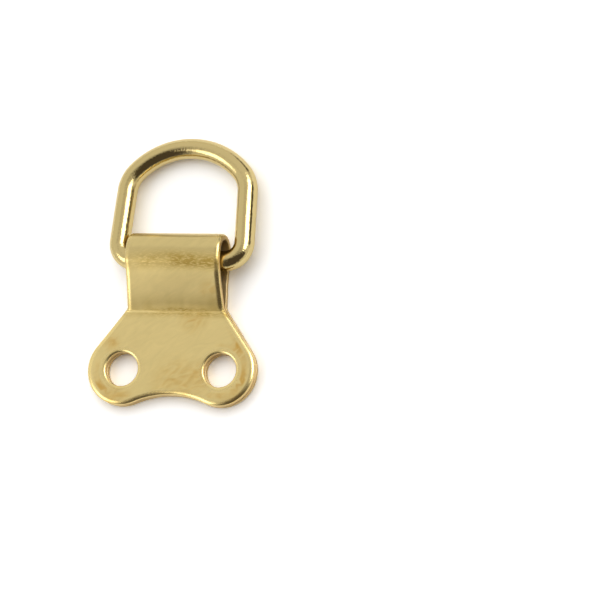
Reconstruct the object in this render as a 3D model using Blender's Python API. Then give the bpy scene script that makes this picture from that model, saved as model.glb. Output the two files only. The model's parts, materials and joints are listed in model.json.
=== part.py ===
"""A two-hole D-ring picture hanger: a folded sheet strap and the bent wire ring that swings in its loop.

Units are metres, +Z up. The origin is midway between the two screw holes, on the strap's rear face,
which lies on the wall or frame. +Y runs from the screw holes to the ring and +Z away from the wall.
"""

import math

import bmesh
import bpy
from mathutils import Matrix, Vector

MM = 0.001

# Sheet strap: driving dimensions
SHEET = 0.9 * MM  # thickness of the sheet
LEAF_GAP = 0.3 * MM  # space left between the two leaves at the base
HOLE_SPACING = 15.1 * MM  # between the two screw holes' centres
HOLE_DIAMETER = 5.0 * MM
LOBE_RADIUS = 5.25 * MM  # round lobe about each screw hole
HOLLOW_RADIUS = 13.5 * MM  # hollow lower edge between the lobes
NECK_WIDTH = 14.4 * MM  # at the loop
WAIST_WIDTH = 14.7 * MM  # the neck widens to this where it meets the flanks
WAIST_Y = 9.25 * MM
WAIST_RADIUS = 0.8 * MM  # inside corner where the neck meets a flank
CREASE_Y = 8.7 * MM  # where the front leaf bends up to the loop
CREASE_RADIUS = 0.9 * MM  # middle of the sheet at both bends of the front leaf

# Wire ring: driving dimensions
WIRE_DIAMETER = 3.0 * MM
RING_HEIGHT = 16.85 * MM  # bar to top, between wire centres
CORNER_RADIUS = 2.7 * MM  # bends at the ends of the bar, at the wire's centre
SHOULDER_RADIUS = 4.6 * MM  # bends between the legs and the top, at the wire's centre
TOP_RADIUS = 11.0 * MM  # top of the D, at the wire's centre
LEG_LEAN = math.radians(2.6)  # each leg leans inwards going up
BUTT_GAP = 0.3 * MM  # between the wire's two ends, in the middle of the bar
RING_SHIFT = 0.4 * MM  # the ring lies this far to the right of the strap's middle

# How the ring sits in the strap
BAR_Y = 15.85 * MM  # the bar's axis, from the screw holes
BAR_CLEARANCE = 0.25 * MM  # between the wire and the leaves above and below it
LOOP_SLACK = 0.65 * MM  # the loop's inner height over the wire's diameter
LOOP_ROOM = 1.6 * MM  # between the bar and the loop's far end
SIDE_PLAY = 0.9 * MM  # between each leg and the neck's edge
TABLE_CLEARANCE = 0.02 * MM  # under the ring's top where it lies beside the rear face

# Facets
WIRE_SIDES = 16
ARC_STEP = math.radians(7.5)  # turn between two points of an arc
SMOOTH_ANGLE = math.radians(30.0)  # faces that meet at less than this look like one round face
CUT_MARGIN = 2.0 * MM  # how far a cutter reaches past what it cuts
MERGE_DISTANCE = 0.001 * MM  # points nearer than this are one point

# What follows from the driving dimensions
WIRE_RADIUS = WIRE_DIAMETER / 2
BASE_THICKNESS = 2 * SHEET + LEAF_GAP
LOOP_HEIGHT = WIRE_DIAMETER + LOOP_SLACK + 2 * SHEET
LOOP_END_Y = BAR_Y + WIRE_RADIUS + LOOP_ROOM + SHEET
BAR_Z = SHEET + BAR_CLEARANCE + WIRE_RADIUS
RING_WIDTH = NECK_WIDTH + 2 * SIDE_PLAY + WIRE_DIAMETER

# Finish
BRASS = (0.66, 0.52, 0.22, 1.0)
STRAP_ROUGHNESS = 0.25
RING_ROUGHNESS = 0.15


def new_object(name, data, location=(0.0, 0.0, 0.0)):
    obj = bpy.data.objects.new(name, data)
    obj.location = location
    bpy.context.scene.collection.objects.link(obj)
    return obj


def brass(name, roughness):
    material = bpy.data.materials.new(name)
    material.use_nodes = True
    shader = material.node_tree.nodes["Principled BSDF"]
    shader.inputs["Base Color"].default_value = BRASS
    shader.inputs["Metallic"].default_value = 1.0
    shader.inputs["Roughness"].default_value = roughness
    return material


def arc(centre, radius, start, turn):
    """Points on an arc from angle start through turn, both in radians, with both ends."""
    steps = max(1, round(abs(turn) / ARC_STEP))
    angles = [start + turn * k / steps for k in range(steps + 1)]
    return [
        Vector((centre[0] + radius * math.cos(a), centre[1] + radius * math.sin(a)))
        for a in angles
    ]


def neck_slope():
    """Slope of the neck, whose outer face clears the bar by the sheet and the bar's clearance."""
    reach = WIRE_RADIUS + BAR_CLEARANCE + SHEET
    run = BAR_Y - CREASE_Y
    rise = BAR_Z - BASE_THICKNESS
    return math.atan2(rise, run) + math.asin(reach / math.hypot(run, rise))


def fold_side(offset, low_y):
    """One face of the folded sheet as (y, z) points, offset outwards from the sheet's middle.

    It runs up the rear leaf, round the loop, down the neck and down the front leaf.
    """
    slope = neck_slope()
    half = SHEET / 2
    loop_y = LOOP_END_Y - LOOP_HEIGHT / 2
    loop_z = LOOP_HEIGHT / 2
    tangent = CREASE_RADIUS * math.tan(slope / 2)

    # The upper bend is where the neck's middle line meets the top of the loop.
    rise = LOOP_HEIGHT - BASE_THICKNESS
    upper_y = CREASE_Y + rise / math.tan(slope)
    upper = (upper_y + tangent, LOOP_HEIGHT - half - CREASE_RADIUS)
    lower = (CREASE_Y - tangent, BASE_THICKNESS - half + CREASE_RADIUS)

    quarter = math.pi / 2
    points = [Vector((low_y, half - offset))]
    points += arc((loop_y, loop_z), loop_z - half + offset, -quarter, math.pi)
    points += arc(upper, CREASE_RADIUS + offset, quarter, slope)
    points += arc(lower, CREASE_RADIUS - offset, slope - quarter, -slope)
    points.append(Vector((low_y, BASE_THICKNESS - half + offset)))
    return points


def strap_outline():
    """Half of the leaves' outline seen from the front, from the middle of the hollow to the loop's end."""
    lobe = Vector((HOLE_SPACING / 2, 0.0))

    # The hollow's arc touches both lobes from outside.
    reach = HOLLOW_RADIUS + LOBE_RADIUS
    hollow = Vector((0.0, -math.sqrt(reach**2 - lobe.x**2)))
    lean = math.atan2(lobe.x, -hollow.y)
    quarter = math.pi / 2
    points = arc(hollow, HOLLOW_RADIUS, quarter, -lean)

    # The flank is the line from the waist that touches the lobe on its outer side.
    waist = Vector((WAIST_WIDTH / 2, WAIST_Y))
    to_lobe = lobe - waist
    flank = math.atan2(to_lobe.y, to_lobe.x) + math.asin(LOBE_RADIUS / to_lobe.length)
    points += arc(lobe, LOBE_RADIUS, -quarter - lean, flank + math.pi + lean)

    # The waist's inside corner is rounded between the flank and the neck's edge.
    bend = -quarter - flank
    side = WAIST_RADIUS * math.tan(abs(bend) / 2)
    corner = waist + Vector((WAIST_RADIUS, side))
    points += arc(corner, WAIST_RADIUS, flank - quarter, bend)

    # The neck's edge runs in a little until it nears the bar, and goes on past the loop for the cut.
    points.append(Vector((NECK_WIDTH / 2, BAR_Y - WIRE_DIAMETER)))
    points.append(Vector((NECK_WIDTH / 2, LOOP_END_Y + CUT_MARGIN)))
    return points


def prism(name, polygon, place, depth):
    """A closed prism: polygon's points go through place, and it is extruded by the vector depth."""
    mesh = bpy.data.meshes.new(name)
    bm = bmesh.new()
    face = bm.faces.new([bm.verts.new(place(p)) for p in polygon])
    top = bmesh.ops.extrude_face_region(bm, geom=[face])["geom"]
    moved = [v for v in top if isinstance(v, bmesh.types.BMVert)]
    bmesh.ops.translate(bm, verts=moved, vec=depth)
    bmesh.ops.remove_doubles(bm, verts=bm.verts, dist=MERGE_DISTANCE)
    bmesh.ops.recalc_face_normals(bm, faces=bm.faces)
    bm.to_mesh(mesh)
    bm.free()
    return mesh


def cutter(name, mesh, target, operation):
    """Hides mesh as a cutter and cuts target with it."""
    obj = new_object(name, mesh)
    obj.hide_render = True
    obj.display_type = "WIRE"
    cut = target.modifiers.new(name, "BOOLEAN")
    cut.operation = operation
    cut.object = obj


def shade_round_faces(obj):
    """Applies obj's cuts, then shades its bends smooth and leaves its cut edges sharp."""
    graph = bpy.context.evaluated_depsgraph_get()
    obj.data = bpy.data.meshes.new_from_object(obj.evaluated_get(graph))
    obj.modifiers.clear()
    obj.data.shade_smooth()
    obj.data.set_sharp_from_angle(angle=SMOOTH_ANGLE)


def make_strap():
    """The folded sheet, cut to its outline, with both screw holes through both leaves."""
    low_y = -LOBE_RADIUS - CUT_MARGIN
    half_width = HOLE_SPACING / 2 + LOBE_RADIUS + CUT_MARGIN
    outer = fold_side(SHEET / 2, low_y)
    inner = fold_side(-SHEET / 2, low_y)
    profile = outer + inner[::-1]
    mesh = prism(
        "folded_strap",
        profile,
        lambda p: (-half_width, p.x, p.y),
        (2 * half_width, 0.0, 0.0),
    )
    strap = new_object("folded_strap", mesh)

    half = strap_outline()
    mirrored = [Vector((-p.x, p.y)) for p in half[::-1]]
    height = LOOP_HEIGHT + 2 * CUT_MARGIN
    outline = prism(
        "strap_outline",
        half + mirrored,
        lambda p: (p.x, p.y, -CUT_MARGIN),
        (0.0, 0.0, height),
    )
    cutter("strap_outline", outline, strap, "INTERSECT")

    for name, side in (("left", -1), ("right", 1)):
        centre = (side * HOLE_SPACING / 2, 0.0)
        rim = arc(centre, HOLE_DIAMETER / 2, 0.0, 2 * math.pi)[:-1]
        hole = prism(
            f"{name}_screw_hole",
            rim,
            lambda p: (p.x, p.y, -CUT_MARGIN),
            (0.0, 0.0, height),
        )
        cutter(f"{name}_screw_hole", hole, strap, "DIFFERENCE")
    shade_round_faces(strap)
    strap.data.materials.append(brass("strap_brass", STRAP_ROUGHNESS))


def ring_half():
    """Half of the wire's centre line as (x, y) points, from the cut end in the bar to the D's top."""
    start = Vector((RING_WIDTH / 2 - CORNER_RADIUS, CORNER_RADIUS))
    quarter = math.pi / 2
    points = [Vector((BUTT_GAP / 2, 0.0))]
    points += arc(start, CORNER_RADIUS, -quarter, quarter + LEG_LEAN)

    # The shoulder touches the leg's line and the top's circle, which sets the leg's length.
    leg_start = points[-1]
    along = Vector((-math.sin(LEG_LEAN), math.cos(LEG_LEAN)))
    inward = Vector((-math.cos(LEG_LEAN), -math.sin(LEG_LEAN)))
    top = Vector((0.0, RING_HEIGHT - TOP_RADIUS))
    base = leg_start + inward * SHOULDER_RADIUS - top
    reach = TOP_RADIUS - SHOULDER_RADIUS
    nearest = base.dot(along)
    leg = math.sqrt(nearest**2 - base.length_squared + reach**2) - nearest
    shoulder = leg_start + along * leg + inward * SHOULDER_RADIUS
    turned = math.atan2(shoulder.y - top.y, shoulder.x - top.x)
    points += arc(shoulder, SHOULDER_RADIUS, LEG_LEAN, turned - LEG_LEAN)
    points += arc(top, TOP_RADIUS, turned, quarter - turned)
    return points


def make_ring():
    """The bent wire, lying with its top on the plane of the strap's rear face."""
    half = ring_half()
    mirrored = [Vector((-p.x, p.y)) for p in half[::-1]]
    path = half + mirrored
    spaced = [path[0]]
    for point in path[1:]:
        if (point - spaced[-1]).length > MERGE_DISTANCE:
            spaced.append(point)

    curve = bpy.data.curves.new("d_ring", "CURVE")
    curve.dimensions = "3D"
    curve.bevel_depth = WIRE_RADIUS
    curve.bevel_resolution = WIRE_SIDES // 2 - 2
    curve.use_fill_caps = True
    spline = curve.splines.new("POLY")
    spline.points.add(len(spaced) - 1)
    for point, place in zip(spline.points, spaced):
        point.co = (place.x, place.y, 0.0, 1.0)

    ring = new_object("d_ring", curve, (RING_SHIFT, BAR_Y, BAR_Z))
    drop = BAR_Z - WIRE_RADIUS - TABLE_CLEARANCE
    ring.rotation_euler = Matrix.Rotation(
        -math.asin(drop / RING_HEIGHT), 3, "X"
    ).to_euler()
    curve.materials.append(brass("ring_brass", RING_ROUGHNESS))


for old in list(bpy.data.objects):
    bpy.data.objects.remove(old)
make_strap()
make_ring()
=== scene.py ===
# %% [markdown]
# A D-ring picture hanger
#
# The hanger is two pieces of brass: a stamped sheet that is folded in two, and a wire bent to a D that
# swings in the sheet's fold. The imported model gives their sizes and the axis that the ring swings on.
# This lesson models both again with rounded edges and real bends, gives them a brass finish, and
# lights them as in a small studio. Both pieces are bare metal, so what the eye sees of them
# is mostly a mirror image of the studio: the shapes and the lights matter as much as the colours.

# %% Load the fixed frame
import json
import math

import bmesh
import bpy
import numpy as np
from mathutils import Matrix, Vector, noise


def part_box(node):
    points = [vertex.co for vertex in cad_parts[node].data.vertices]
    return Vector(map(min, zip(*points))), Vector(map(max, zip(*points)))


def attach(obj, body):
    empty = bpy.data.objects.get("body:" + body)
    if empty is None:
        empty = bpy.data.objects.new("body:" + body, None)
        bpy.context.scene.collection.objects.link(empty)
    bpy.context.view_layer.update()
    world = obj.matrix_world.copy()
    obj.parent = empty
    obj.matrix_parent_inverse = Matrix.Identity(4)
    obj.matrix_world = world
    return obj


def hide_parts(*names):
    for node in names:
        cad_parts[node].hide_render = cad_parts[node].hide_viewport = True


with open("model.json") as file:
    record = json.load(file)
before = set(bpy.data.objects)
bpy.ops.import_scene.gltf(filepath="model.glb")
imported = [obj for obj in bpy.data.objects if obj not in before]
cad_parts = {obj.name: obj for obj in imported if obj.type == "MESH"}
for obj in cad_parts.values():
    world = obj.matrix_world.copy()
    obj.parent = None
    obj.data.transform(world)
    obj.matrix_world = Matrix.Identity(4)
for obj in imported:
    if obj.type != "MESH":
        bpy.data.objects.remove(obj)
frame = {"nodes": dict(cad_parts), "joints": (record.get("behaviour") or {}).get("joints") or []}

MM = 0.001
bpy.context.scene.view_settings.view_transform = "Standard"
bpy.ops.object.select_all(action="DESELECT")
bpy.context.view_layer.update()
strap_low, strap_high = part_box("folded_strap")
bar = Vector(frame["joints"][0]["pos_m"])  # a point on the axis that the ring swings on
print("packed nodes:", sorted(frame["nodes"]), "bar at", [round(c / MM, 2) for c in bar], "mm")

# %% [markdown]
# The camera
#
# The photograph looks down at the hanger from its right and a little from below, turned a few degrees
# in the picture. A long lens keeps the view almost free of perspective, as a product photograph is.
# A camera can be moved by hand until the view looks right, but one that is worked out can be checked. It
# follows from three angles, the size of one pixel on the object, and the pixel where the frame's origin
# falls. The camera is made first, so that every later step can be judged in the same view.

# %% Camera
VIEW_RIGHT = math.radians(19.7)
VIEW_BELOW = math.radians(11.5)
VIEW_ROLL = math.radians(4.5)
PICTURE = 600  # pixels on each side
PIXEL = 0.14423 * MM  # the size of a pixel on the object
ORIGIN_PIXEL = Vector((174.63, 371.68))
LENS = 500.0  # focal length and sensor width, in mm
SENSOR = 36.0
NEAREST_SEEN = 10 * MM

towards = Vector(
    (
        math.sin(VIEW_RIGHT),
        -math.cos(VIEW_RIGHT) * math.sin(VIEW_BELOW),
        math.cos(VIEW_RIGHT) * math.cos(VIEW_BELOW),
    )
)
level_up = (Vector((0, 1, 0)) - towards * towards.y).normalized()
level_right = level_up.cross(towards)
right = level_right * math.cos(VIEW_ROLL) + level_up * math.sin(VIEW_ROLL)
up = towards.cross(right)
middle = (PICTURE - 1) / 2
aim = (right * (middle - ORIGIN_PIXEL.x) + up * (ORIGIN_PIXEL.y - middle)) * PIXEL

lens = bpy.data.cameras.new("long_lens")
lens.lens = LENS
lens.sensor_width = SENSOR
lens.clip_start = NEAREST_SEEN
camera = bpy.data.objects.new("long_lens", lens)
camera.matrix_world = Matrix.Translation(aim + towards * (PICTURE * PIXEL * LENS / SENSOR)) @ Matrix(
    (right, up, towards)
).transposed().to_4x4()
bpy.context.scene.collection.objects.link(camera)
bpy.context.scene.camera = camera
print("camera", round((camera.location - aim).length / MM), "mm from its aim")

# %% [markdown]
# Helpers for modelling by hand
#
# Modelling operators act on what is selected, so each step picks its object, then its edges or faces by
# where they lie. Selecting by place and not by number keeps the steps right when a size changes.

# %% Selection helpers
def take(obj):
    """Makes obj the only selected object, and the active one."""
    bpy.ops.object.select_all(action="DESELECT")
    obj.select_set(True)
    bpy.context.view_layer.objects.active = obj


def pick(obj, kind, wanted):
    """In edit mode, selects the edges or faces for which wanted(element) is true."""
    bpy.ops.mesh.select_mode(type=kind)
    bpy.ops.mesh.select_all(action="DESELECT")
    work = bmesh.from_edit_mesh(obj.data)
    for element in work.edges if kind == "EDGE" else work.faces:
        if wanted(element):
            element.select_set(True)
    bmesh.update_edit_mesh(obj.data)


def apply_modifier(obj, kind, **settings):
    """Adds a modifier with these settings and applies it."""
    take(obj)
    modifier = obj.modifiers.new(kind.title(), kind)
    for name, value in settings.items():
        setattr(modifier, name, value)
    bpy.ops.object.modifier_apply(modifier=modifier.name)


print("selected to start with:", len(bpy.context.selected_objects), "objects")

# %% [markdown]
# The D-ring
#
# The ring is one length of drawn wire, bent over formers and sheared so that its ends butt in the bar. A
# beveled curve would give the same line, but the wire's real bends are arcs and straights that meet
# at a tangent, so it is made here as it is bent. The places of the bends come first. The corner and the
# top are given, and the shoulder between them has to touch both the leg and the top.

# %% Ring: where its bends lie
WIRE_DIAMETER = 3.0 * MM
RING_WIDTH = 19.2 * MM  # between the wire's centres, at the corners
RING_HEIGHT = 16.85 * MM  # from the bar to the top, at the wire's centre
CORNER_RADIUS = 2.7 * MM
SHOULDER_RADIUS = 4.6 * MM
TOP_RADIUS = 11.0 * MM
LEG_LEAN = math.radians(2.6)
QUARTER = math.pi / 2

corner = Vector((RING_WIDTH / 2 - CORNER_RADIUS, CORNER_RADIUS))
leg_along = Vector((-math.sin(LEG_LEAN), math.cos(LEG_LEAN)))
leg_inward = Vector((-math.cos(LEG_LEAN), -math.sin(LEG_LEAN)))
leg_start = corner - leg_inward * CORNER_RADIUS
top = Vector((0, RING_HEIGHT - TOP_RADIUS))

# The shoulder touches the leg's line and the top's circle, which sets the leg's length.
base = leg_start + leg_inward * SHOULDER_RADIUS - top
nearest = base.dot(leg_along)
reach = TOP_RADIUS - SHOULDER_RADIUS
leg_length = math.sqrt(nearest**2 - base.length_squared + reach**2) - nearest
shoulder = leg_start + leg_along * leg_length + leg_inward * SHOULDER_RADIUS
turned = math.atan2(shoulder.y - top.y, shoulder.x - top.x)
print("leg", round(leg_length / MM, 2), "mm, shoulder up to", round(math.degrees(turned), 1), "degrees")

# %% [markdown]
# Half of the wire is now bent as on a bench: a circle is pulled out along each straight and spun round
# each bend, from the butt in the bar to the middle of the top. The other half bends alike, so it is
# a mirror image.

# %% Ring: bend half of the wire
BUTT_GAP = 0.3 * MM
WIRE_SIDES = 72
BEND_STEP = math.radians(3.0)


def spin_to(centre, turn):
    """Sweeps the selected section round centre by turn, anticlockwise seen from above."""
    bpy.ops.mesh.spin(
        steps=max(2, round(abs(turn) / BEND_STEP)),
        angle=-turn,
        center=(centre.x, centre.y, 0),
        axis=(0, 0, 1),
    )


bpy.ops.mesh.primitive_circle_add(
    vertices=WIRE_SIDES,
    radius=WIRE_DIAMETER / 2,
    location=(BUTT_GAP / 2, 0, 0),
    rotation=(0, QUARTER, 0),
)
ring = bpy.context.object
ring.name = "d_ring_bent_wire"
bpy.ops.object.transform_apply(location=True, rotation=True, scale=True)
bpy.ops.object.mode_set(mode="EDIT")
bpy.ops.mesh.select_all(action="SELECT")
bpy.ops.mesh.extrude_region_move(TRANSFORM_OT_translate={"value": (corner.x - BUTT_GAP / 2, 0, 0)})
spin_to(corner, QUARTER + LEG_LEAN)
bpy.ops.mesh.extrude_region_move(TRANSFORM_OT_translate={"value": (*(leg_along * leg_length), 0)})
spin_to(shoulder, turned - LEG_LEAN)
spin_to(top, QUARTER - turned)
bpy.ops.object.mode_set(mode="OBJECT")
print("half ring:", len(ring.data.vertices), "vertices")

# %% [markdown]
# The mirrored half meets the first at the top of the D, and the two sheared ends stay a hair apart, where
# the loop will hide them. The ends are filled and their rims rounded a little, as a tumbled part's are.

# %% Ring: mirror the half and close the ends
MERGE_WITHIN = 0.01 * MM
END_ROUNDING = 0.12 * MM
END_STEPS = 3

apply_modifier(ring, "MIRROR", merge_threshold=MERGE_WITHIN)
bpy.ops.object.mode_set(mode="EDIT")
pick(ring, "EDGE", lambda edge: edge.is_boundary)
bpy.ops.mesh.fill_holes(sides=0)
pick(ring, "EDGE", lambda edge: any(len(face.verts) == WIRE_SIDES for face in edge.link_faces))
bpy.ops.mesh.bevel(offset=END_ROUNDING, segments=END_STEPS, affect="EDGES")
bpy.ops.mesh.select_all(action="SELECT")
bpy.ops.mesh.normals_make_consistent(inside=False)
bpy.ops.object.mode_set(mode="OBJECT")
print("ring:", len(ring.data.polygons), "faces")

# %% [markdown]
# The marks of drawing lie along the wire and round it, so the finish has to know where on the wire a point
# is. A UV map could say so, but it would have a seam. The bends are arcs with known
# centres, so each vertex's run along the wire is worked out from them and kept as an attribute.

# %% Ring: note each point's place on the wire
top_run = (QUARTER - turned) * TOP_RADIUS
leg_end = top_run + (turned - LEG_LEAN) * SHOULDER_RADIUS
corner_end = leg_end + leg_length + (QUARTER + LEG_LEAN) * CORNER_RADIUS


def along_wire(co):
    """How far a place on the wire is from the top along it, how far outside its middle, and its height."""
    spot = Vector((abs(co.x), co.y))
    past_corner = (spot - corner).dot(leg_along)
    from_shoulder = spot - shoulder
    turn = math.atan2(from_shoulder.y, from_shoulder.x)
    if spot.x <= corner.x and spot.y < corner.y:
        run, out = corner_end + corner.x - spot.x, -spot.y
    elif past_corner < 0:
        bend = math.atan2(spot.y - corner.y, spot.x - corner.x)
        run, out = corner_end - (bend + QUARTER) * CORNER_RADIUS, (spot - corner).length - CORNER_RADIUS
    elif past_corner < leg_length:
        run, out = leg_end + leg_length - past_corner, -(spot - leg_start).dot(leg_inward)
    elif turn < turned:
        run, out = top_run + (turned - turn) * SHOULDER_RADIUS, from_shoulder.length - SHOULDER_RADIUS
    else:
        from_top = spot - top
        bend = math.atan2(from_top.y, from_top.x)
        run, out = (QUARTER - bend) * TOP_RADIUS, from_top.length - TOP_RADIUS
    return (math.copysign(run, co.x), out, co.z)


marks = ring.data.attributes.new("wire", "FLOAT_VECTOR", "POINT")
for vert, mark in zip(ring.data.vertices, marks.data):
    mark.vector = along_wire(vert.co)
print("wire:", round(2 * (corner_end + corner.x) / MM, 1), "mm from end to end")

# %% [markdown]
# The finished wire is laid in the strap's loop. A loose ring tips on its bar until its top rests on the
# table, so the tilt follows from how high the bar is held.

# %% Ring: lay it in the loop
TABLE_CLEARANCE = 0.02 * MM
RING_SHARP = math.radians(40)  # a sharper edge than this isn't shaded smooth

drop = bar.z - WIRE_DIAMETER / 2 - TABLE_CLEARANCE
tilt = math.asin(drop / RING_HEIGHT)
ring.location = bar
ring.rotation_euler = (-tilt, 0, 0)
bpy.ops.object.transform_apply(location=True, rotation=True, scale=True)
bpy.ops.object.shade_smooth_by_angle(angle=RING_SHARP)
print("ring tipped", round(math.degrees(tilt), 2), "degrees")

# %% [markdown]
# The strap's fold
#
# The strap starts as a flat stamping with two waists: one half becomes the rear leaf, the other the
# front leaf, and the neck between them rolls over the ring's bar. It could be modelled folded, but
# a real fold keeps the sheet's length and thickness, so the blank is cut flat here and folded
# afterwards. The fold is a path of straights and arcs through the middle of the sheet, and
# its lengths say where each bend falls on the blank.

# %% Fold path
SHEET = 0.9 * MM
LEAF_GAP = 0.3 * MM
BAR_CLEARANCE = 0.25 * MM
CREASE_Y = 8.7 * MM
CREASE_RADIUS = 0.9 * MM  # middle of the sheet, where the neck meets the front leaf
UPPER_RADIUS = 2.4 * MM  # the softer bend where the loop's top goes over to the neck

loop_height = strap_high.z
loop_radius = (loop_height - SHEET) / 2
loop_y = strap_high.y - loop_height / 2
base_thickness = 2 * SHEET + LEAF_GAP

# The neck's outside just touches a circle round the bar, a sheet and a clearance away from the wire.
bar_run = bar.y - CREASE_Y
bar_rise = bar.z - base_thickness
bar_reach = WIRE_DIAMETER / 2 + BAR_CLEARANCE + SHEET
slope = math.atan2(bar_rise, bar_run) + math.asin(bar_reach / math.hypot(bar_run, bar_rise))
neck_rise = loop_height - base_thickness
crease_tangent = CREASE_RADIUS * math.tan(slope / 2)
upper_tangent = UPPER_RADIUS * math.tan(slope / 2)
upper_y = CREASE_Y + neck_rise / math.tan(slope)

FOLD = [  # length along the sheet's middle, and how far the sheet turns on it
    (math.pi * loop_radius, math.pi),
    (loop_y - upper_y - upper_tangent, 0.0),
    (UPPER_RADIUS * slope, slope),
    (neck_rise / math.sin(slope) - upper_tangent - crease_tangent, 0.0),
    (CREASE_RADIUS * slope, -slope),
]
stations = [loop_y]  # where each stretch of the path starts, and the last one ends, on the blank
for length, turn in FOLD:
    stations.append(stations[-1] + length)
loop_end, upper_start, upper_end, crease_start, front_start = stations[1:]
front_y = CREASE_Y - crease_tangent
print("neck slope", round(math.degrees(slope), 1), "degrees; bends at", [round(s / MM, 2) for s in stations])

# %% [markdown]
# The outline is arcs and tangents: a hollow lower edge, a round lobe about each screw hole, a straight
# flank, a small round at the waist and a neck that narrows a little. A spline through many points
# could follow it, but a die is ground to arcs, and arcs keep their tangents when a size changes. Half
# a leaf is worked out once.

# %% Half a leaf
HOLE_SPACING = 15.1 * MM
HOLLOW_RADIUS = 13.5 * MM
NECK_WIDTH = 14.4 * MM
WAIST_WIDTH = 14.7 * MM
WAIST_Y = 9.25 * MM
WAIST_RADIUS = 0.8 * MM
ARC_STEP = math.radians(2.5)
lobe_radius = strap_high.x - HOLE_SPACING / 2


def arc(centre, radius, start, turn):
    """Points on an arc from angle start through turn, with both ends."""
    steps = max(2, round(abs(turn) / ARC_STEP))
    angles = [start + turn * k / steps for k in range(steps + 1)]
    return [centre + Vector((math.cos(a), math.sin(a))) * radius for a in angles]


def half_leaf():
    """The right half of a leaf's outline, from the middle of the hollow up to the neck near the bar."""
    lobe = Vector((HOLE_SPACING / 2, 0))
    between = HOLLOW_RADIUS + lobe_radius
    hollow = Vector((0, -math.sqrt(between**2 - lobe.x**2)))
    lean = math.atan2(lobe.x, -hollow.y)
    points = arc(hollow, HOLLOW_RADIUS, QUARTER, -lean)[1:]
    waist = Vector((WAIST_WIDTH / 2, WAIST_Y))
    to_lobe = lobe - waist
    flank = math.atan2(to_lobe.y, to_lobe.x) + math.asin(lobe_radius / to_lobe.length)
    points += arc(lobe, lobe_radius, -QUARTER - lean, flank + math.pi + lean)[1:]
    bend = -QUARTER - flank
    side = WAIST_RADIUS * math.tan(abs(bend) / 2)
    waist_centre = waist + Vector((WAIST_RADIUS, side))
    points += arc(waist_centre, WAIST_RADIUS, flank - QUARTER, bend)
    return points + [Vector((NECK_WIDTH / 2, bar.y - WIRE_DIAMETER))]


rear = half_leaf()
print("half a leaf:", len(rear), "points, lobes of", round(lobe_radius / MM, 2), "mm radius")

# %% [markdown]
# The blank's outline uses the half leaf four times. The front leaf's points are moved along the sheet to
# where the fold will bring them back over the rear leaf, and so are its two screw holes.

# %% Blank outline
HOLE_DIAMETER = 5.0 * MM


def on_front(point):
    """Where a point of the front leaf, given by its place in the finished strap, lies on the blank."""
    past = front_y - point.y
    stretch = 1.0 if past > 0 else 1 / math.cos(slope)
    return Vector((point.x, front_start + past * stretch))


right_side = rear + [on_front(point) for point in rear[::-1]]
outline = right_side + [Vector((-p.x, p.y)) for p in right_side[::-1]]
rear_holes = [Vector((side * HOLE_SPACING / 2, 0)) for side in (-1, 1)]
hole_centres = rear_holes + [on_front(centre) for centre in rear_holes]
holes = [arc(centre, HOLE_DIAMETER / 2, 0, 2 * math.pi)[:-1] for centre in hole_centres]
blank_low = min(p.y for p in outline)
blank_high = max(p.y for p in outline)
print("blank:", len(outline), "points,", round((blank_high - blank_low) / MM, 1), "mm long")

# %% [markdown]
# A flat curve fills the outline and leaves the four holes open, and its extrusion is the sheet's thickness.
# A plate with Boolean cuts would do as well, but the curve needs no cutters. Made a mesh, it is all
# triangles, and a limited dissolve joins those that lie in one plane. A face can't have a hole in
# it, so the leaf is first split by a seam through its two holes.

# %% Fill the blank
SAME_PLACE = 0.001 * MM
CUT_SNAP = SAME_PLACE / 10
SAME_PLANE = math.radians(0.5)

curve = bpy.data.curves.new("strap_blank", "CURVE")
curve.dimensions = "2D"
curve.fill_mode = "BOTH"
curve.extrude = SHEET / 2
for loop in [outline, *holes]:
    spline = curve.splines.new("POLY")
    spline.points.add(len(loop) - 1)
    spline.use_cyclic_u = True
    for point, spot in zip(spline.points, loop):
        point.co = (spot.x, spot.y, 0, 1)
strap = bpy.data.objects.new("folded_strap_sheet", curve)
bpy.context.scene.collection.objects.link(strap)
take(strap)
bpy.ops.object.convert(target="MESH")
strap = bpy.context.object

bpy.ops.object.mode_set(mode="EDIT")
bpy.ops.mesh.select_all(action="SELECT")
bpy.ops.mesh.remove_doubles(threshold=SAME_PLACE)
bpy.ops.mesh.normals_make_consistent(inside=False)
for centre in (hole_centres[0], hole_centres[2]):
    bpy.ops.mesh.select_all(action="SELECT")
    bpy.ops.mesh.bisect(plane_co=(0, centre.y, 0), plane_no=(0, 1, 0), threshold=CUT_SNAP)
    bpy.ops.mesh.mark_seam(clear=False)
bpy.ops.mesh.select_all(action="SELECT")
bpy.ops.mesh.dissolve_limited(angle_limit=SAME_PLANE, delimit={"SEAM"})
bpy.ops.object.mode_set(mode="OBJECT")
print("filled blank:", len(strap.data.polygons), "faces")

# %% [markdown]
# The blank has sharp rims. A press rolls the rim over where the punch enters, and tumbling rounds it
# further, so the outer rim gets a wide bevel and the inner rim only a small one.

# %% Bevel the rims
ROLL_WIDTH = 0.75 * MM
ROLL_STEPS = 12
BURR_ROUNDING = 0.08 * MM
BURR_STEPS = 3
UPRIGHT = 0.5  # a wall's normal rises less than this, and a face's more


def on_rim(edge, height):
    """True for an edge between a wall and the face of the sheet at this height."""
    level = all(abs(vert.co.z - height) < SAME_PLACE for vert in edge.verts)
    return level and any(abs(face.normal.z) < UPRIGHT for face in edge.link_faces)


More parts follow.
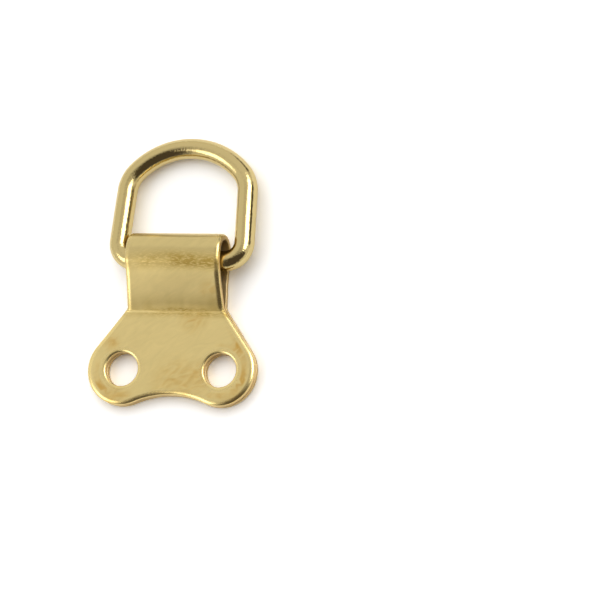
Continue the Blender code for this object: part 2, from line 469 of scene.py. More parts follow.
bpy.ops.object.mode_set(mode="EDIT")
pick(strap, "EDGE", lambda edge: on_rim(edge, -SHEET / 2))
bpy.ops.mesh.bevel(offset=ROLL_WIDTH, segments=ROLL_STEPS, affect="EDGES", clamp_overlap=False)
pick(strap, "EDGE", lambda edge: on_rim(edge, SHEET / 2))
bpy.ops.mesh.bevel(offset=BURR_ROUNDING, segments=BURR_STEPS, affect="EDGES")
bpy.ops.object.mode_set(mode="OBJECT")
print("blank with beveled rims:", len(strap.data.polygons), "faces")

# %% [markdown]
# Sheet can only bend where its mesh has a line across it, so the blank is bisected at close stations over
# every bend, and a little past the crease, where the tool left a ridge. Subdividing it all
# would bend as well, but it would put most of its faces where the sheet is flat. The two flat faces get
# a wider net of lines, so that they can swell a little. The net stops at the bevels, whose own long
# faces give the cleanest reflections.

# %% Cut the bending lines
NET = 0.8 * MM
LOOP_LINES = 0.12 * MM
UPPER_LINES = 0.10 * MM
NECK_LINES = 0.35 * MM
CREASE_LINES = 0.05 * MM
RIDGE_REACH = 0.5 * MM  # how far past the crease the close lines go on, for the ridge beside it
BOW = 0.25 * MM  # how much earlier the neck's bends fall at its sides than in its middle
LEVEL = 0.999  # a flat face's normal rises more than this
across = Vector((0, 1, 0))
along = Vector((1, 0, 0))


def spread(low, high, step):
    """Evenly spaced places from low up to high, about a step apart, without the last."""
    count = max(1, round((high - low) / step))
    return [low + (high - low) * k / count for k in range(count)]


def on_flat(face):
    """True for a face on either flat side of the blank."""
    middle_height = face.calc_center_median().z
    return abs(face.normal.z) > LEVEL and abs(abs(middle_height) - SHEET / 2) < SAME_PLACE


line_steps = (LOOP_LINES, NECK_LINES, UPPER_LINES, NECK_LINES, CREASE_LINES)
line_ends = [loop_y, loop_end, upper_start, upper_end, crease_start - BOW, front_start + RIDGE_REACH]
bend_places = [line_ends[-1]]
for low, high, step in zip(line_ends, line_ends[1:], line_steps):
    bend_places += spread(low, high, step)
leaf_places = spread(blank_low, loop_y, NET)[1:] + spread(line_ends[-1], blank_high, NET)[1:]
net = [(across, spot) for spot in leaf_places]
net += [(along, spot) for spot in spread(strap_low.x, strap_high.x, NET)[1:]]

bpy.ops.object.mode_set(mode="EDIT")
for spot in bend_places:
    bpy.ops.mesh.select_all(action="SELECT")
    bpy.ops.mesh.bisect(plane_co=across * spot, plane_no=across, threshold=CUT_SNAP)
for axis, spot in net:
    pick(strap, "FACE", on_flat)
    bpy.ops.mesh.bisect(plane_co=axis * spot, plane_no=axis, threshold=CUT_SNAP)
bpy.ops.object.mode_set(mode="OBJECT")
print("cut blank:", len(strap.data.polygons), "faces")

# %% [markdown]
# The bevel left a quarter circle. A punched rim is flatter: it dips slowly over most of its width and drops
# only near the wall. A custom bevel profile could draw that, but it would do the same on every rim, and the
# holes' rims are narrower. So the profile is a function: the depth on the quarter circle says how
# far in from the wall a vertex is, and that gives the new depth.

# %% Profile of the punched rim
SHOULDER_DIP = 0.14 * MM
LIP_WIDTH = 0.45 * MM
LIP_DROP = 0.16 * MM


def rolled(depth):
    """The depth below the outer face on the punched rim, for a depth on the bevel's quarter circle."""
    if depth <= 0:
        return 0.0
    if depth >= ROLL_WIDTH:
        return depth + SHOULDER_DIP + LIP_DROP - ROLL_WIDTH
    run = math.sqrt(ROLL_WIDTH**2 - (ROLL_WIDTH - depth) ** 2)
    lip = max(0.0, run - ROLL_WIDTH + LIP_WIDTH) / LIP_WIDTH
    return SHOULDER_DIP * (run / ROLL_WIDTH) ** 2 + LIP_DROP * (1 - math.sqrt(max(0.0, 1 - lip**2)))


print("rim rolled", round(rolled(ROLL_WIDTH) / MM, 2), "mm deep")

# %% [markdown]
# Each vertex moves to that profile, and round a hole it also draws in towards the hole's edge. Its place on
# the flat blank and its distance from the nearest cut edge are kept as attributes, so that the finish can
# follow the sheet and its edges after the fold.

# %% Shape the rims
HOLE_ROLL = 0.42 * MM  # the holes' rims are rolled less far in than the outline's
HOLE_RADIUS = HOLE_DIAMETER / 2


def edge_distance(spots):
    """How far each of these places (n, 2) on the blank lies from the nearest cut edge."""
    far = np.full(len(spots), np.inf)
    for loop in [outline, *holes]:
        for start, end in zip(loop, loop[1:] + loop[:1]):
            run = np.array(end - start)
            from_start = spots - np.array(start)
            share = np.clip(from_start @ run / (run @ run), 0, 1)
            far = np.minimum(far, np.linalg.norm(from_start - share[:, None] * run, axis=1))
    return far


burr_start = SHEET - BURR_ROUNDING - SAME_PLACE
for vert in strap.data.vertices:
    depth = vert.co.z + SHEET / 2
    if depth >= burr_start:
        continue
    share = 1.0
    for centre in hole_centres:
        out = vert.co.xy - centre
        if out.length < HOLE_RADIUS + ROLL_WIDTH + SAME_PLACE:
            share = HOLE_ROLL / ROLL_WIDTH
            vert.co.xy = centre + out.normalized() * (HOLE_RADIUS + (out.length - HOLE_RADIUS) * share)
    vert.co.z = rolled(depth) * share - SHEET / 2

flat_places = np.empty(len(strap.data.vertices) * 3)
strap.data.vertices.foreach_get("co", flat_places)
insets = edge_distance(flat_places.reshape(-1, 3)[:, :2])
strap.data.attributes.new("blank", "FLOAT_VECTOR", "POINT").data.foreach_set("vector", flat_places)
strap.data.attributes.new("inset", "FLOAT", "POINT").data.foreach_set("value", insets)
print("farthest from a cut edge:", round(float(insets.max()) / MM, 2), "mm")

# %% [markdown]
# The bend operator needs a window, and a Simple Deform modifier makes one bend at a time, so the fold is
# worked out in code: each vertex keeps its distance from the middle of the sheet and is carried along
# the fold path, round the loop, down the neck and onto the front leaf. A wide bend is never quite straight,
# so the bends bow a little: they fall earlier at the neck's sides than in its middle.

# %% Carry a point along the fold
BOW_FADE = 2.5 * MM


def carried(point, height):
    """The place in the folded strap of a point (x, s) of the blank, height above the sheet's middle."""
    y, z, heading = loop_y, SHEET / 2, 0.0
    left = point.y - loop_y
    if left <= 0:
        return Vector((point.x, point.y, z + height))
    for length, turn in FOLD:
        step = min(left, length)
        bend = turn * step / length
        chord = step if bend == 0 else 2 * length / turn * math.sin(bend / 2)
        y += chord * math.cos(heading + bend / 2)
        z += chord * math.sin(heading + bend / 2)
        heading += bend
        left -= step
        if left <= 0:
            break
    y += left * math.cos(heading)
    z += left * math.sin(heading)
    return Vector((point.x, y - height * math.sin(heading), z + height * math.cos(heading)))


def bowed(point):
    """How far a point of the blank is ahead of its place on the fold path."""
    before = (loop_end - point.y) / BOW_FADE
    after = (point.y - front_start) / BOW_FADE
    share = 1 - min(1.0, max(0.0, before, after))
    return BOW * (2 * point.x / NECK_WIDTH) ** 2 * share**2 * (3 - 2 * share)


print("front leaf starts at", [round(c / MM, 2) for c in carried(Vector((0, front_start)), 0)], "mm")

# %% [markdown]
# Pressed sheet is never as straight as its drawing. Where it is bent hard its edges lift, as a saddle's do,
# the neck is a little full, the forming tool leaves a fine ridge along the crease, and the flats have
# slow waves. A bump in the material could fake them, but they are part of the sheet's shape, and a mesh
# that is used without its finish should have them too. So they are small moves off the sheet, made before
# each vertex is carried.

# %% Fold the strap
EDGE_LIFT = 0.04 * MM
EDGE_LIFT_WIDTH = 0.7 * MM
EDGE_LIFT_LENGTH = 0.5 * MM
WAVE_HEIGHT = 0.012 * MM
WAVE_LENGTH = 6.0 * MM
NECK_BULGE = 0.05 * MM
RIDGE_HEIGHT = 0.045 * MM
RIDGE_WIDTH = 0.14 * MM
STRAP_SHARP = math.radians(38)  # a sharper edge than this isn't shaded smooth

upper_bend = (upper_start + upper_end) / 2
for vert in strap.data.vertices:
    point = Vector((vert.co.x, vert.co.y))
    wave = noise.noise(Vector((*point, 0)) / WAVE_LENGTH) * WAVE_HEIGHT
    point.y += bowed(point)
    in_from_side = (abs(point.x) - NECK_WIDTH / 2) / EDGE_LIFT_WIDTH
    past_bend = (point.y - upper_bend) / EDGE_LIFT_LENGTH
    lift = EDGE_LIFT * math.exp(-(in_from_side**2) - past_bend**2)
    down_neck = (point.y - upper_end) / (crease_start - upper_end)
    if 0 < down_neck < 1:
        lift += NECK_BULGE * 4 * down_neck * (1 - down_neck)
    past_crease = (point.y - front_start) / RIDGE_WIDTH
    lift += RIDGE_HEIGHT * math.exp(-(past_crease**2))
    vert.co = carried(point, vert.co.z + wave - lift)
strap.data.update()
take(strap)
bpy.ops.object.shade_smooth_by_angle(angle=STRAP_SHARP)
apply_modifier(strap, "WEIGHTED_NORMAL", keep_sharp=True)
print("strap:", [round(c / MM, 2) for c in strap.dimensions], "mm")

# %% [markdown]
# Colours and shader nodes
#
# Colours are written as the hex values a paint chart would give, and turned to the linear light that
# the shaders work in. One function adds a node, sets it and links it, so that a finish reads
# as a list of steps.

# %% Colour and node helpers
def linear(code):
    """A hex colour as linear red, green, blue and alpha."""
    shares = [int(code[k : k + 2], 16) / 255 for k in (1, 3, 5)]
    light = [s / 12.92 if s <= 0.04045 else ((s + 0.055) / 1.055) ** 2.4 for s in shares]
    return (*light, 1.0)


def add_node(tree, kind, inputs, output=0, **settings):
    """Adds a shader node, sets it, links or sets its inputs, and returns one of its outputs."""
    made = tree.nodes.new("ShaderNode" + kind)
    for name, value in settings.items():
        setattr(made, name, value)
    for name, value in inputs.items():
        if isinstance(value, bpy.types.NodeSocket):
            tree.links.new(value, made.inputs[name])
        else:
            made.inputs[name].default_value = value
    return made.outputs[output]


SMOOTH = {"interpolation_type": "SMOOTHSTEP"}
EVEN = {"interpolation_type": "LINEAR"}
TIMES = {"operation": "MULTIPLY"}
TIMES_PLUS = {"operation": "MULTIPLY_ADD"}
GREATER = {"operation": "MAXIMUM"}
COLOUR = {"output": 2, "data_type": "RGBA"}


def metal(name):
    """A new metal material, with its node tree and its shader."""
    material = bpy.data.materials.new(name)
    material.use_nodes = True
    tree = material.node_tree
    shader = tree.nodes["Principled BSDF"]
    shader.inputs["Metallic"].default_value = 1.0
    return material, tree, shader


print("half grey, #808080, is", round(linear("#808080")[0], 3), "of full light")

# %% [markdown]
# Rolled brass sheet
#
# The strap is brass sheet, rolled, stamped and tumbled. To the eye that is a pale yellow metal with a soft,
# blurred shine, a little cloudy, orange where it has stained and brown where the tool rubbed it. A picture
# could hold such marks, but it would have to be fitted round the fold. Here each pattern is a noise at
# its real size in millimetres, read on the blank's own coordinates, so it follows the sheet by itself.

# %% Sheet finish: patterns
PATTERNS = {  # size in mm across, along and through the sheet, turn in degrees, detail and swirl
    "clouds": ((2.6, 2.6, 2.6), 0, 3.0, 0.0),  # left by tumbling
    "stains": ((1.2, 2.6, 1.6), 64, 4.0, 1.2),  # left by damp
    "tongues": ((1.9, 7.0, 2.0), 0, 1.0, 0.0),  # drawn down the neck by the tool
    "smears": ((1.2, 3.6, 3.6), 58, 4.0, 1.6),  # left by wiping
    # Real scuffs are finer than a pixel, so they are drawn as coarse as they need to be to show.
    "fuzz": ((0.6, 0.14, 0.2), 0, 5.0, 0.3),
}
sheet_brass, tree, shader = metal("rolled_brass_sheet")
blank_place = add_node(tree, "Attribute", {}, "Vector", attribute_name="blank")
inset = add_node(tree, "Attribute", {}, "Fac", attribute_name="inset")
across_sheet, along_sheet, through_sheet = [
    add_node(tree, "SeparateXYZ", {0: blank_place}, axis) for axis in "XYZ"
]
pattern = {}
for name, (sizes, turn, detail, swirl) in PATTERNS.items():
    scale = [size * MM for size in sizes]
    spot = add_node(
        tree,
        "Mapping",
        {"Vector": blank_place, "Rotation": (0, 0, math.radians(turn)), "Scale": scale},
        vector_type="TEXTURE",
    )
    pattern[name] = add_node(
        tree, "TexNoise", {"Vector": spot, "Scale": 1.0, "Detail": detail, "Distortion": swirl}
    )
print("patterns:", list(pattern))

# %% [markdown]
# Where the bends are worn
#
# The forming tool scuffed a band along each bend, harder at the right than at the left. Wear could be
# painted on by hand, but it follows from a distance on the blank, so it is a mask here: a number
# from 0 to 1 that stays true if a size changes.

# %% Sheet finish: mask of the scuffed bends
SCUFFED = (  # the middle of each scuffed band along the sheet, and its reach
    (upper_bend, 1.9 * MM),
    (crease_start + 0.2 * MM, 1.4 * MM),
)
FULLY_SCUFFED = 0.1  # share of the reach
PRESSED = (-6.5 * MM, 0.5 * MM)  # across the sheet, where the tool pressed least and where it pressed most
LEAST_PRESSED = 0.5


def apart(value, other):
    """How far a value is from another, either way."""
    away = add_node(tree, "Math", {0: value, 1: other}, operation="SUBTRACT")
    return add_node(tree, "Math", {0: away}, operation="ABSOLUTE")


bends = 0.0
for bend_middle, reach in SCUFFED:
    away = apart(along_sheet, bend_middle)
    band = add_node(
        tree, "MapRange", {"Value": away, "From Min": reach, "From Max": FULLY_SCUFFED * reach}, **SMOOTH
    )
    bends = add_node(tree, "Math", {0: band, 1: bends}, **GREATER)
low, high = PRESSED
pressed = add_node(
    tree,
    "MapRange",
    {"Value": across_sheet, "From Min": low, "From Max": high, "To Min": LEAST_PRESSED},
    **SMOOTH,
)
bends = add_node(tree, "Math", {0: bends, 1: pressed}, **TIMES)
print("scuffed:", len(SCUFFED), "bends")

# %% [markdown]
# The ridge along the crease stands clear of the wear at the left, where it shows as a bright line, and is
# rubbed itself at the right. Shade is painted at the neck's foot: the colour darkens towards the crease, up
# the neck and down the front leaf. The ridge bows with the bend, so its mask does too, or the bright line
# would drift off it.

# %% Sheet finish: masks of the ridge and the painted crease shade
# the ridge's bright line is partly its own highlight and partly painted: the wear and the painted crease
# shade are left off the ridge
RIDGE_CLEAR = (0.08 * MM, 0.26 * MM)  # from the ridge's top, where wear begins and where it is full
RIDGE_RUBBED = (-4.5 * MM, -1.5 * MM)  # across the sheet, where the ridge is clear and where it is rubbed
MOST_RUBBED = 0.65
# painted shade: where the neck meets the front leaf, the colour darkens towards the crease
PAINTED_CREASE_SHADE_LINE = crease_start - 0.2 * MM
PAINTED_CREASE_SHADE_REACH = (-3.2 * MM, 1.4 * MM)  # up the neck and down the front leaf
bow_rate = BOW * (2 / NECK_WIDTH) ** 2

squared = add_node(tree, "Math", {0: across_sheet, 1: across_sheet}, **TIMES)
bowed_along = add_node(tree, "Math", {0: squared, 1: bow_rate, 2: along_sheet}, **TIMES_PLUS)
low, high = RIDGE_CLEAR
beside_ridge = add_node(
    tree, "MapRange", {"Value": apart(bowed_along, front_start), "From Min": low, "From Max": high}, **SMOOTH
)
low, high = RIDGE_RUBBED
rubbed = add_node(
    tree, "MapRange", {"Value": across_sheet, "From Min": low, "From Max": high, "To Max": MOST_RUBBED}
)
beside_ridge = add_node(tree, "Math", {0: beside_ridge, 1: rubbed}, **GREATER)
bends = add_node(tree, "Math", {0: bends, 1: beside_ridge}, **TIMES)

from_line = add_node(tree, "Math", {0: along_sheet, 1: PAINTED_CREASE_SHADE_LINE}, operation="SUBTRACT")
# the painted crease shade starts from the ridge mask, so the ridge stays bright
painted_crease_shade = beside_ridge
for reach in PAINTED_CREASE_SHADE_REACH:
    side = add_node(tree, "MapRange", {"Value": from_line, "From Min": reach, "From Max": 0.0}, **SMOOTH)
    painted_crease_shade = add_node(tree, "Math", {0: side, 1: painted_crease_shade}, **TIMES)
print("grime from", [round(reach / MM, 1) for reach in PAINTED_CREASE_SHADE_REACH], "mm about the neck's foot")

# %% [markdown]
# Where the sheet is stained
#
# Damp leaves two kinds of patina on brass: smudges, and thin tide lines that dry a little inside a cut edge.
# Each smudge is a soft spot on the front leaf or the neck. A tide line is a narrow band of distance from the
# cut edge, kept only near some spots. The same distance gives the polished rims and the bare cut edges, and
# the depth through the sheet gives the face inside the fold, whose colour is painted light: paler, to stand
# in for light that reaches into the fold.

# %% Sheet finish: masks of stains and edges
SMUDGES = (  # middle on the front leaf or the neck, and radius, in mm
    (1.0, -1.8, 5.0),
    (4.0, -1.2, 3.4),
    (10.0, -4.4, 3.0),
    (-8.4, -4.4, 3.0),
    (-9.4, 3.8, 1.8),
    (5.7, 11.6, 2.2),
    (3.0, 7.6, 3.0),
)
TIDES = (  # the same, for where a tide line runs along the cut edge
    (10.2, 3.8, 4.0),
    (11.4, -1.6, 4.4),
    (7.6, -5.0, 3.0),
    (-11.0, -2.4, 4.4),
    (-7.6, -5.0, 3.0),
)
TIDE_SIDES = ((0.75, 1.1), (1.65, 1.15))  # mm in from the cut edge, from dry to full, on both of its sides
EDGES = {  # what is measured, where the mask begins and is full in mm, and how it goes from one to the other
    "rim": (inset, 1.0, 0.3, SMOOTH),
    "wall": (inset, 0.06, 0.0, EVEN),
    "below_lip": (through_sheet, -0.22, -0.1, EVEN),
    "inner_face": (through_sheet, 0.25, 0.42, SMOOTH),
}


def near(spots):
    """A mask that is full in the middle of each spot and fades to its radius."""
    mask = 0.0
    for x, y, radius in spots:
        centre = on_front(Vector((x, y)) * MM)
        away = add_node(
            tree, "VectorMath", {0: blank_place, 1: (*centre, -SHEET / 2)}, "Value", operation="DISTANCE"
        )
        spot = add_node(tree, "MapRange", {"Value": away, "From Min": radius * MM, "From Max": 0.0}, **SMOOTH)
        mask = add_node(tree, "Math", {0: spot, 1: mask}, **GREATER)
    return mask


smudges = near(SMUDGES)
tide = near(TIDES)
for dry, full in TIDE_SIDES:
    side = add_node(tree, "MapRange", {"Value": inset, "From Min": dry * MM, "From Max": full * MM}, **SMOOTH)
    tide = add_node(tree, "Math", {0: side, 1: tide}, **TIMES)
edge = {}
for name, (measure, begins, full, way) in EDGES.items():
    levels = {"From Min": begins * MM, "From Max": full * MM}
    edge[name] = add_node(tree, "MapRange", {"Value": measure, **levels}, **way)
cut = add_node(tree, "Math", {0: edge["wall"], 1: edge["below_lip"]}, **TIMES)
print("stained:", len(SMUDGES), "smudges,", len(TIDES), "tide lines")

# %% [markdown]
# The sheet's colour goes from clean brass to orange patina and to the brown of the worn bends, then to the
# paler inside of the fold and the cut edges. The brown also carries a painted shade at the neck's foot,
# darker towards the crease, and the paler inside of the fold is painted light. The noises break each mask up,
# so that no mark has an even edge: stains blotch the smudges, clouds break the tide lines and patch the
# scuffs, fuzz leaves bright scratches in them, and tongues part the painted crease shade. Smears vary the
# whole a little, and a painted shade darkens the loop and the rear leaf up to the upper bend.

# %% Sheet finish: colour
CLEAN = linear("#E6CF8D")
PATINA = linear("#D2A958")
# the tint of the worn bends and of the painted shade at the crease
WEAR_AND_SHADE_TINT = linear("#AC9149")
# painted light: the inside of the fold is paler than clean brass, to stand in for light reaching into it
INSIDE_PAINTED_LIGHT = linear("#F5DCA6")
CUT = linear("#DCBE80")
MARKS = {  # pattern, where in it the mark begins and is full, its value before and after, and how it goes
    "blotches": ("stains", 0.22, 0.75, 0.0, 1.0, SMOOTH),
    "breaks": ("clouds", 0.4, 0.55, 0.25, 1.0, SMOOTH),
    "scratches": ("fuzz", 0.46, 0.68, 1.0, 0.35, SMOOTH),
    "patches": ("clouds", 0.35, 0.6, 0.7, 1.0, SMOOTH),
    "partings": ("tongues", 0.3, 0.7, 0.35, 1.0, EVEN),
    "streaks": ("smears", 0.3, 0.7, 0.92, 1.0, EVEN),
}
MOST_SMUDGED = 0.8
MOST_PAINTED_CREASE_SHADE = 0.7
LOOP_PAINTED_SHADE = 0.8  # up to the upper bend, on the loop and the rear leaf, the sheet is darker
LOOP_FADE = 2 * MM

mark = {}
for name, (source, begins, full, before, after, way) in MARKS.items():
    levels = {"From Min": begins, "From Max": full, "To Min": before, "To Max": after}
    mark[name] = add_node(tree, "MapRange", {"Value": pattern[source], **levels}, **way)
for share in (mark["blotches"], MOST_SMUDGED):
    smudges = add_node(tree, "Math", {0: smudges, 1: share}, **TIMES)
tide = add_node(tree, "Math", {0: tide, 1: mark["breaks"]}, **TIMES)
patina = add_node(tree, "Math", {0: tide, 1: smudges}, **GREATER)
scuffs = bends
for share in (mark["scratches"], mark["patches"]):
    scuffs = add_node(tree, "Math", {0: scuffs, 1: share}, **TIMES)
for share in (mark["partings"], MOST_PAINTED_CREASE_SHADE):
    painted_crease_shade = add_node(tree, "Math", {0: painted_crease_shade, 1: share}, **TIMES)
# the worn tint goes on the scuffed bends, which are real wear, and on the painted crease shade
wear_and_crease_shade = add_node(tree, "Math", {0: scuffs, 1: painted_crease_shade}, **GREATER)

colour = CLEAN
for share, tint in ((patina, PATINA), (wear_and_crease_shade, WEAR_AND_SHADE_TINT), (edge["inner_face"], INSIDE_PAINTED_LIGHT), (cut, CUT)):
    colour = add_node(tree, "Mix", {0: share, 6: colour, 7: tint}, **COLOUR)
# painted shade: the loop and the rear leaf are darkened up to the upper bend, and the smears are real tone
painted_shade_and_smears = add_node(
    tree,
    "MapRange",
    {"Value": along_sheet, "From Min": upper_bend - LOOP_FADE, "From Max": upper_bend, "To Min": LOOP_PAINTED_SHADE},
    **SMOOTH,
)
painted_shade_and_smears = add_node(tree, "Math", {0: mark["streaks"], 1: painted_shade_and_smears}, **TIMES)
colour = add_node(tree, "VectorMath", {0: colour, "Scale": painted_shade_and_smears}, operation="SCALE")
tree.links.new(colour, shader.inputs["Base Color"])
print("marks:", list(mark))

# %% [markdown]
# Shine is what tells bare metal from paint. Clouds vary the roughness a little, handling polishes the rims,
# and the scuffs, the cut edges and the inside of the fold are duller. The relief is finer than the mesh,
# so it is a bump: tongues all over, and fuzz on the bends and the rims.

# %% Sheet finish: shine and relief
LEAST_ROUGH = 0.285
MOST_ROUGH = 0.315
RIM_POLISH = 0.85  # share of the roughness that is left on the rims
DULLED = ((scuffs, 0.3), (cut, 0.15), (edge["inner_face"], 0.15))  # roughness that each of these adds
TONGUE_HEIGHT = 0.004  # heights are in mm
BEND_FUZZ_HEIGHT = 0.009
RIM_FUZZ_HEIGHT = 0.004

rough = add_node(tree, "MapRange", {"Value": pattern["clouds"], "To Min": LEAST_ROUGH, "To Max": MOST_ROUGH})
polish = add_node(tree, "MapRange", {"Value": edge["rim"], "To Min": 1.0, "To Max": RIM_POLISH})
rough = add_node(tree, "Math", {0: rough, 1: polish}, **TIMES)
for share, more in DULLED:
    rough = add_node(tree, "Math", {0: share, 1: more, 2: rough}, **TIMES_PLUS)
tree.links.new(rough, shader.inputs["Roughness"])

height = add_node(tree, "Math", {0: pattern["tongues"], 1: TONGUE_HEIGHT}, **TIMES)
fuzz_height = add_node(tree, "Math", {0: bends, 1: BEND_FUZZ_HEIGHT}, **TIMES)
fuzz_height = add_node(tree, "Math", {0: edge["rim"], 1: RIM_FUZZ_HEIGHT, 2: fuzz_height}, **TIMES_PLUS)
height = add_node(tree, "Math", {0: pattern["fuzz"], 1: fuzz_height, 2: height}, **TIMES_PLUS)
relief = add_node(tree, "Bump", {"Height": height, "Distance": MM})
tree.links.new(relief, shader.inputs["Normal"])
strap.data.materials.clear()
strap.data.materials.append(sheet_brass)
print("finish:", sheet_brass.name, "with", len(tree.nodes), "nodes")

# %% [markdown]
# Drawn brass wire
#
# The ring is wire, pulled through a die and then bent. To the eye that is a smoother, brighter metal than
# the sheet, almost a mirror, whose reflections have rough edges and wander a little. The colour is even, so
# the life is all in the relief: a fine chatter from the die and a slow swell from the bending. Both are
# noises on the run along the wire, because a noise on plain coordinates would not turn with the bends.

# %% Wire finish
WIRE_BRASS = linear("#C6B27A")
WIRE_ROUGHNESS = 0.08
# Sizes along the wire, out from its middle and up, and heights in mm. The real chatter is finer than a
# pixel, so it is drawn as coarse as it needs to be to show.
CHATTER = (0.2 * MM, 0.32 * MM, 0.32 * MM)
CHATTER_HEIGHT = 0.026
SWELL = (2.4 * MM, 1.6 * MM, 1.6 * MM)
SWELL_HEIGHT = 0.006

wire_brass, tree, shader = metal("drawn_brass_wire")
wire_place = add_node(tree, "Attribute", {}, "Vector", attribute_name="wire")
height = 0.0
for sizes, most in ((CHATTER, CHATTER_HEIGHT), (SWELL, SWELL_HEIGHT)):
    spot = add_node(tree, "Mapping", {"Vector": wire_place, "Scale": sizes}, vector_type="TEXTURE")
    wave = add_node(tree, "TexNoise", {"Vector": spot, "Scale": 1.0, "Detail": 2.0})
    height = add_node(tree, "Math", {0: wave, 1: most, 2: height}, **TIMES_PLUS)
relief = add_node(tree, "Bump", {"Height": height, "Distance": MM})
tree.links.new(relief, shader.inputs["Normal"])
shader.inputs["Base Color"].default_value = WIRE_BRASS
shader.inputs["Roughness"].default_value = WIRE_ROUGHNESS
ring.data.materials.clear()
ring.data.materials.append(wire_brass)
print("finish:", wire_brass.name, "with", len(tree.nodes), "nodes")

# %% [markdown]
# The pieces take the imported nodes' places
#
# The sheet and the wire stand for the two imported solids, so each rides on its body and hides its node.

# %% Ride on the bodies
for piece, body, node, slot in (
    (strap, "strap", "folded_strap", "strap_brass"),
    (ring, "ring", "d_ring", "ring_brass"),
):
    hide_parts(node)
    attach(piece, body)
print("pieces:", strap.name, ring.name)

# %% [markdown]
# The studio
#
# Brass shows what is round it. The studio is a pale tent over a white table, with an oval softbox to the
# right and a smaller round one to the lower left. Both are flagged off the table, where their shadows would
# fall to the wrong side, so only the brass shows them. A third, wide lamp at the upper left lights the table
# and no brass, and gives the soft shadows. They are area lamps that the camera doesn't see.

# %% Softboxes
LAMP_DISTANCE = 450 * MM
SOFTBOXES = {  # azimuth, zenith, angles across and lean in degrees, radiance, and the rays it is flagged off
    "right_softbox": (31, 45, (44, 34), -20, 4.6, "visible_diffuse"),
    "left_softbox": (206, 44, (32, 32), 0, 2.35, "visible_diffuse"),
    "table_light": (120, 26, (70, 70), 0, 0.70, "visible_glossy"),
}


def bearing(azimuth, zenith):
    """A unit vector by its azimuth from +X towards +Y and its angle from straight up, in degrees."""
    turn, fall = math.radians(azimuth), math.radians(zenith)
    return Vector((math.cos(turn) * math.sin(fall), math.sin(turn) * math.sin(fall), math.cos(fall)))


def softbox(name, away, angles, lean, radiance):
    """An oval softbox that faces the table, with its angles across as seen from there."""
    lamp = bpy.data.lights.new(name, "AREA")
    lamp.shape = "ELLIPSE"
    lamp.size, lamp.size_y = [2 * LAMP_DISTANCE * math.tan(math.radians(a / 2)) for a in angles]
    lamp.energy = radiance * math.pi * math.pi * lamp.size * lamp.size_y / 4
    holder = bpy.data.objects.new(name, lamp)
    holder.rotation_euler = away.to_track_quat("Z", "Y").to_euler()
    holder.rotation_euler.rotate_axis("Z", math.radians(lean))
    holder.location = away * LAMP_DISTANCE
    holder.visible_camera = False
    bpy.context.scene.collection.objects.link(holder)
    return holder


for name, (azimuth, zenith, angles, lean, radiance, flagged) in SOFTBOXES.items():
    holder = softbox(name, bearing(azimuth, zenith), angles, lean, radiance)
    setattr(holder, flagged, False)
print("softboxes:", len(bpy.data.lights))

# %% [markdown]
# The tent is painted on the world by direction: pale all round, and dark where it stands open between two
# curtains, towards the camera. Walls of cloth would do the same, but they would have to be lit. Each
# curtain's edge is a plane through the table, so a direction is on its dark side where its dot product with
# the plane's normal is positive. The opening's foot ends softly above the table. Two dark patches near the
# table are gaps under the tent, and a fainter one overhead is where it is gathered.

# %% Tent
TENT = (0.98, 0.98, 0.98, 1.0)  # light and not paint, so it is written as linear light
ROOM = (0.102, 0.087, 0.076, 1.0)  # brown, so that the dark reflections in the brass are warm
CURTAIN_SOFT = math.sin(math.radians(6))
LEFT_CURTAIN = (bearing(168, 18), bearing(246, 64))  # two directions on each curtain's edge
RIGHT_CURTAIN = (bearing(120, 5), bearing(-17, 66))
ROOM_MIDDLE = bearing(-75, 45)
OPENING = (bearing(-140, 8), 81, 63)  # its middle, and how many degrees away the dark begins and is full
GAPS = (  # azimuth, zenith, radius and softness in degrees, and how dark
    (66, 88, 14, 5, 0.95),
    (19, 80, 13, 4, 1.0),
    (150, 8, 13, 10, 0.4),
)

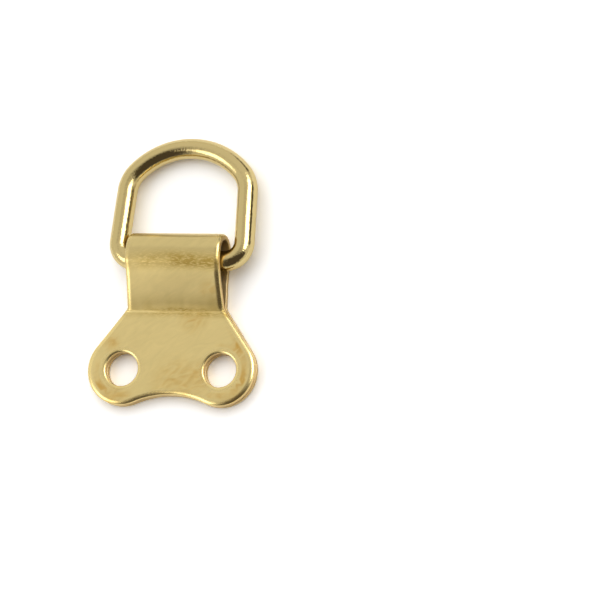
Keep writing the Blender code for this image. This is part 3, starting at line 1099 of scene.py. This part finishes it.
world = bpy.data.worlds.new("tent")
bpy.context.scene.world = world
world.use_nodes = True
tree = world.node_tree
sight = add_node(tree, "TexCoord", {}, "Generated")
sides = []  # a direction, and where along it the dark begins and is full
for first, second in (LEFT_CURTAIN, RIGHT_CURTAIN):
    normal = first.cross(second).normalized()
    if normal.dot(ROOM_MIDDLE) < 0:
        normal = -normal
    sides.append((normal, -CURTAIN_SOFT, CURTAIN_SOFT))
sides.append((OPENING[0], *[math.cos(math.radians(angle)) for angle in OPENING[1:]]))
dark = 1.0
for direction, begins, full in sides:
    seen_along = add_node(tree, "VectorMath", {0: sight, 1: direction}, "Value", operation="DOT_PRODUCT")
    side = add_node(tree, "MapRange", {"Value": seen_along, "From Min": begins, "From Max": full}, **SMOOTH)
    dark = add_node(tree, "Math", {0: side, 1: dark}, **TIMES)
for azimuth, zenith, radius, soft, most in GAPS:
    begins, full = [math.cos(math.radians(radius + side)) for side in (soft, -soft)]
    direction = bearing(azimuth, zenith)
    seen_along = add_node(tree, "VectorMath", {0: sight, 1: direction}, "Value", operation="DOT_PRODUCT")
    levels = {"From Min": begins, "From Max": full, "To Max": most}
    gap = add_node(tree, "MapRange", {"Value": seen_along, **levels}, **SMOOTH)
    dark = add_node(tree, "Math", {0: dark, 1: gap}, **GREATER)
glow = add_node(tree, "Mix", {0: dark, 6: TENT, 7: ROOM}, **COLOUR)
tree.links.new(glow, tree.nodes["Background"].inputs["Color"])
print("tent:", len(tree.nodes), "nodes")

# %% [markdown]
# The table is white card, which takes the soft shadows. The camera and the brass see it a little brighter
# than it is lit, so that it is white up to the shadows without more light on the hanger. More lamps would
# whiten it too, but they would also bleach the brass.

# %% Table
TABLE_SIZE = 4.0  # metres
CARD = linear("#F7F7F6")
CARD_SEEN = (1.42, 1.42, 1.42, 1.0)  # whiter than any paint, so it is written as linear light

bpy.ops.object.select_all(action="DESELECT")
bpy.ops.mesh.primitive_plane_add(size=TABLE_SIZE, location=(0, 0, -TABLE_CLEARANCE))
table = bpy.context.object
table.name = "table"
white = bpy.data.materials.new("white_card")
white.use_nodes = True
tree = white.node_tree
tree.nodes.remove(tree.nodes["Principled BSDF"])
seen = 0.0
for ray in ("Is Camera Ray", "Is Glossy Ray", "Is Transmission Ray"):
    share = add_node(tree, "LightPath", {}, ray)
    seen = add_node(tree, "Math", {0: share, 1: seen}, **GREATER)
pale = add_node(tree, "Mix", {0: seen, 6: CARD, 7: CARD_SEEN}, **COLOUR)
card = add_node(tree, "BsdfDiffuse", {"Color": pale})
tree.links.new(card, tree.nodes["Material Output"].inputs["Surface"])
table.data.materials.append(white)
print("table:", table.name)
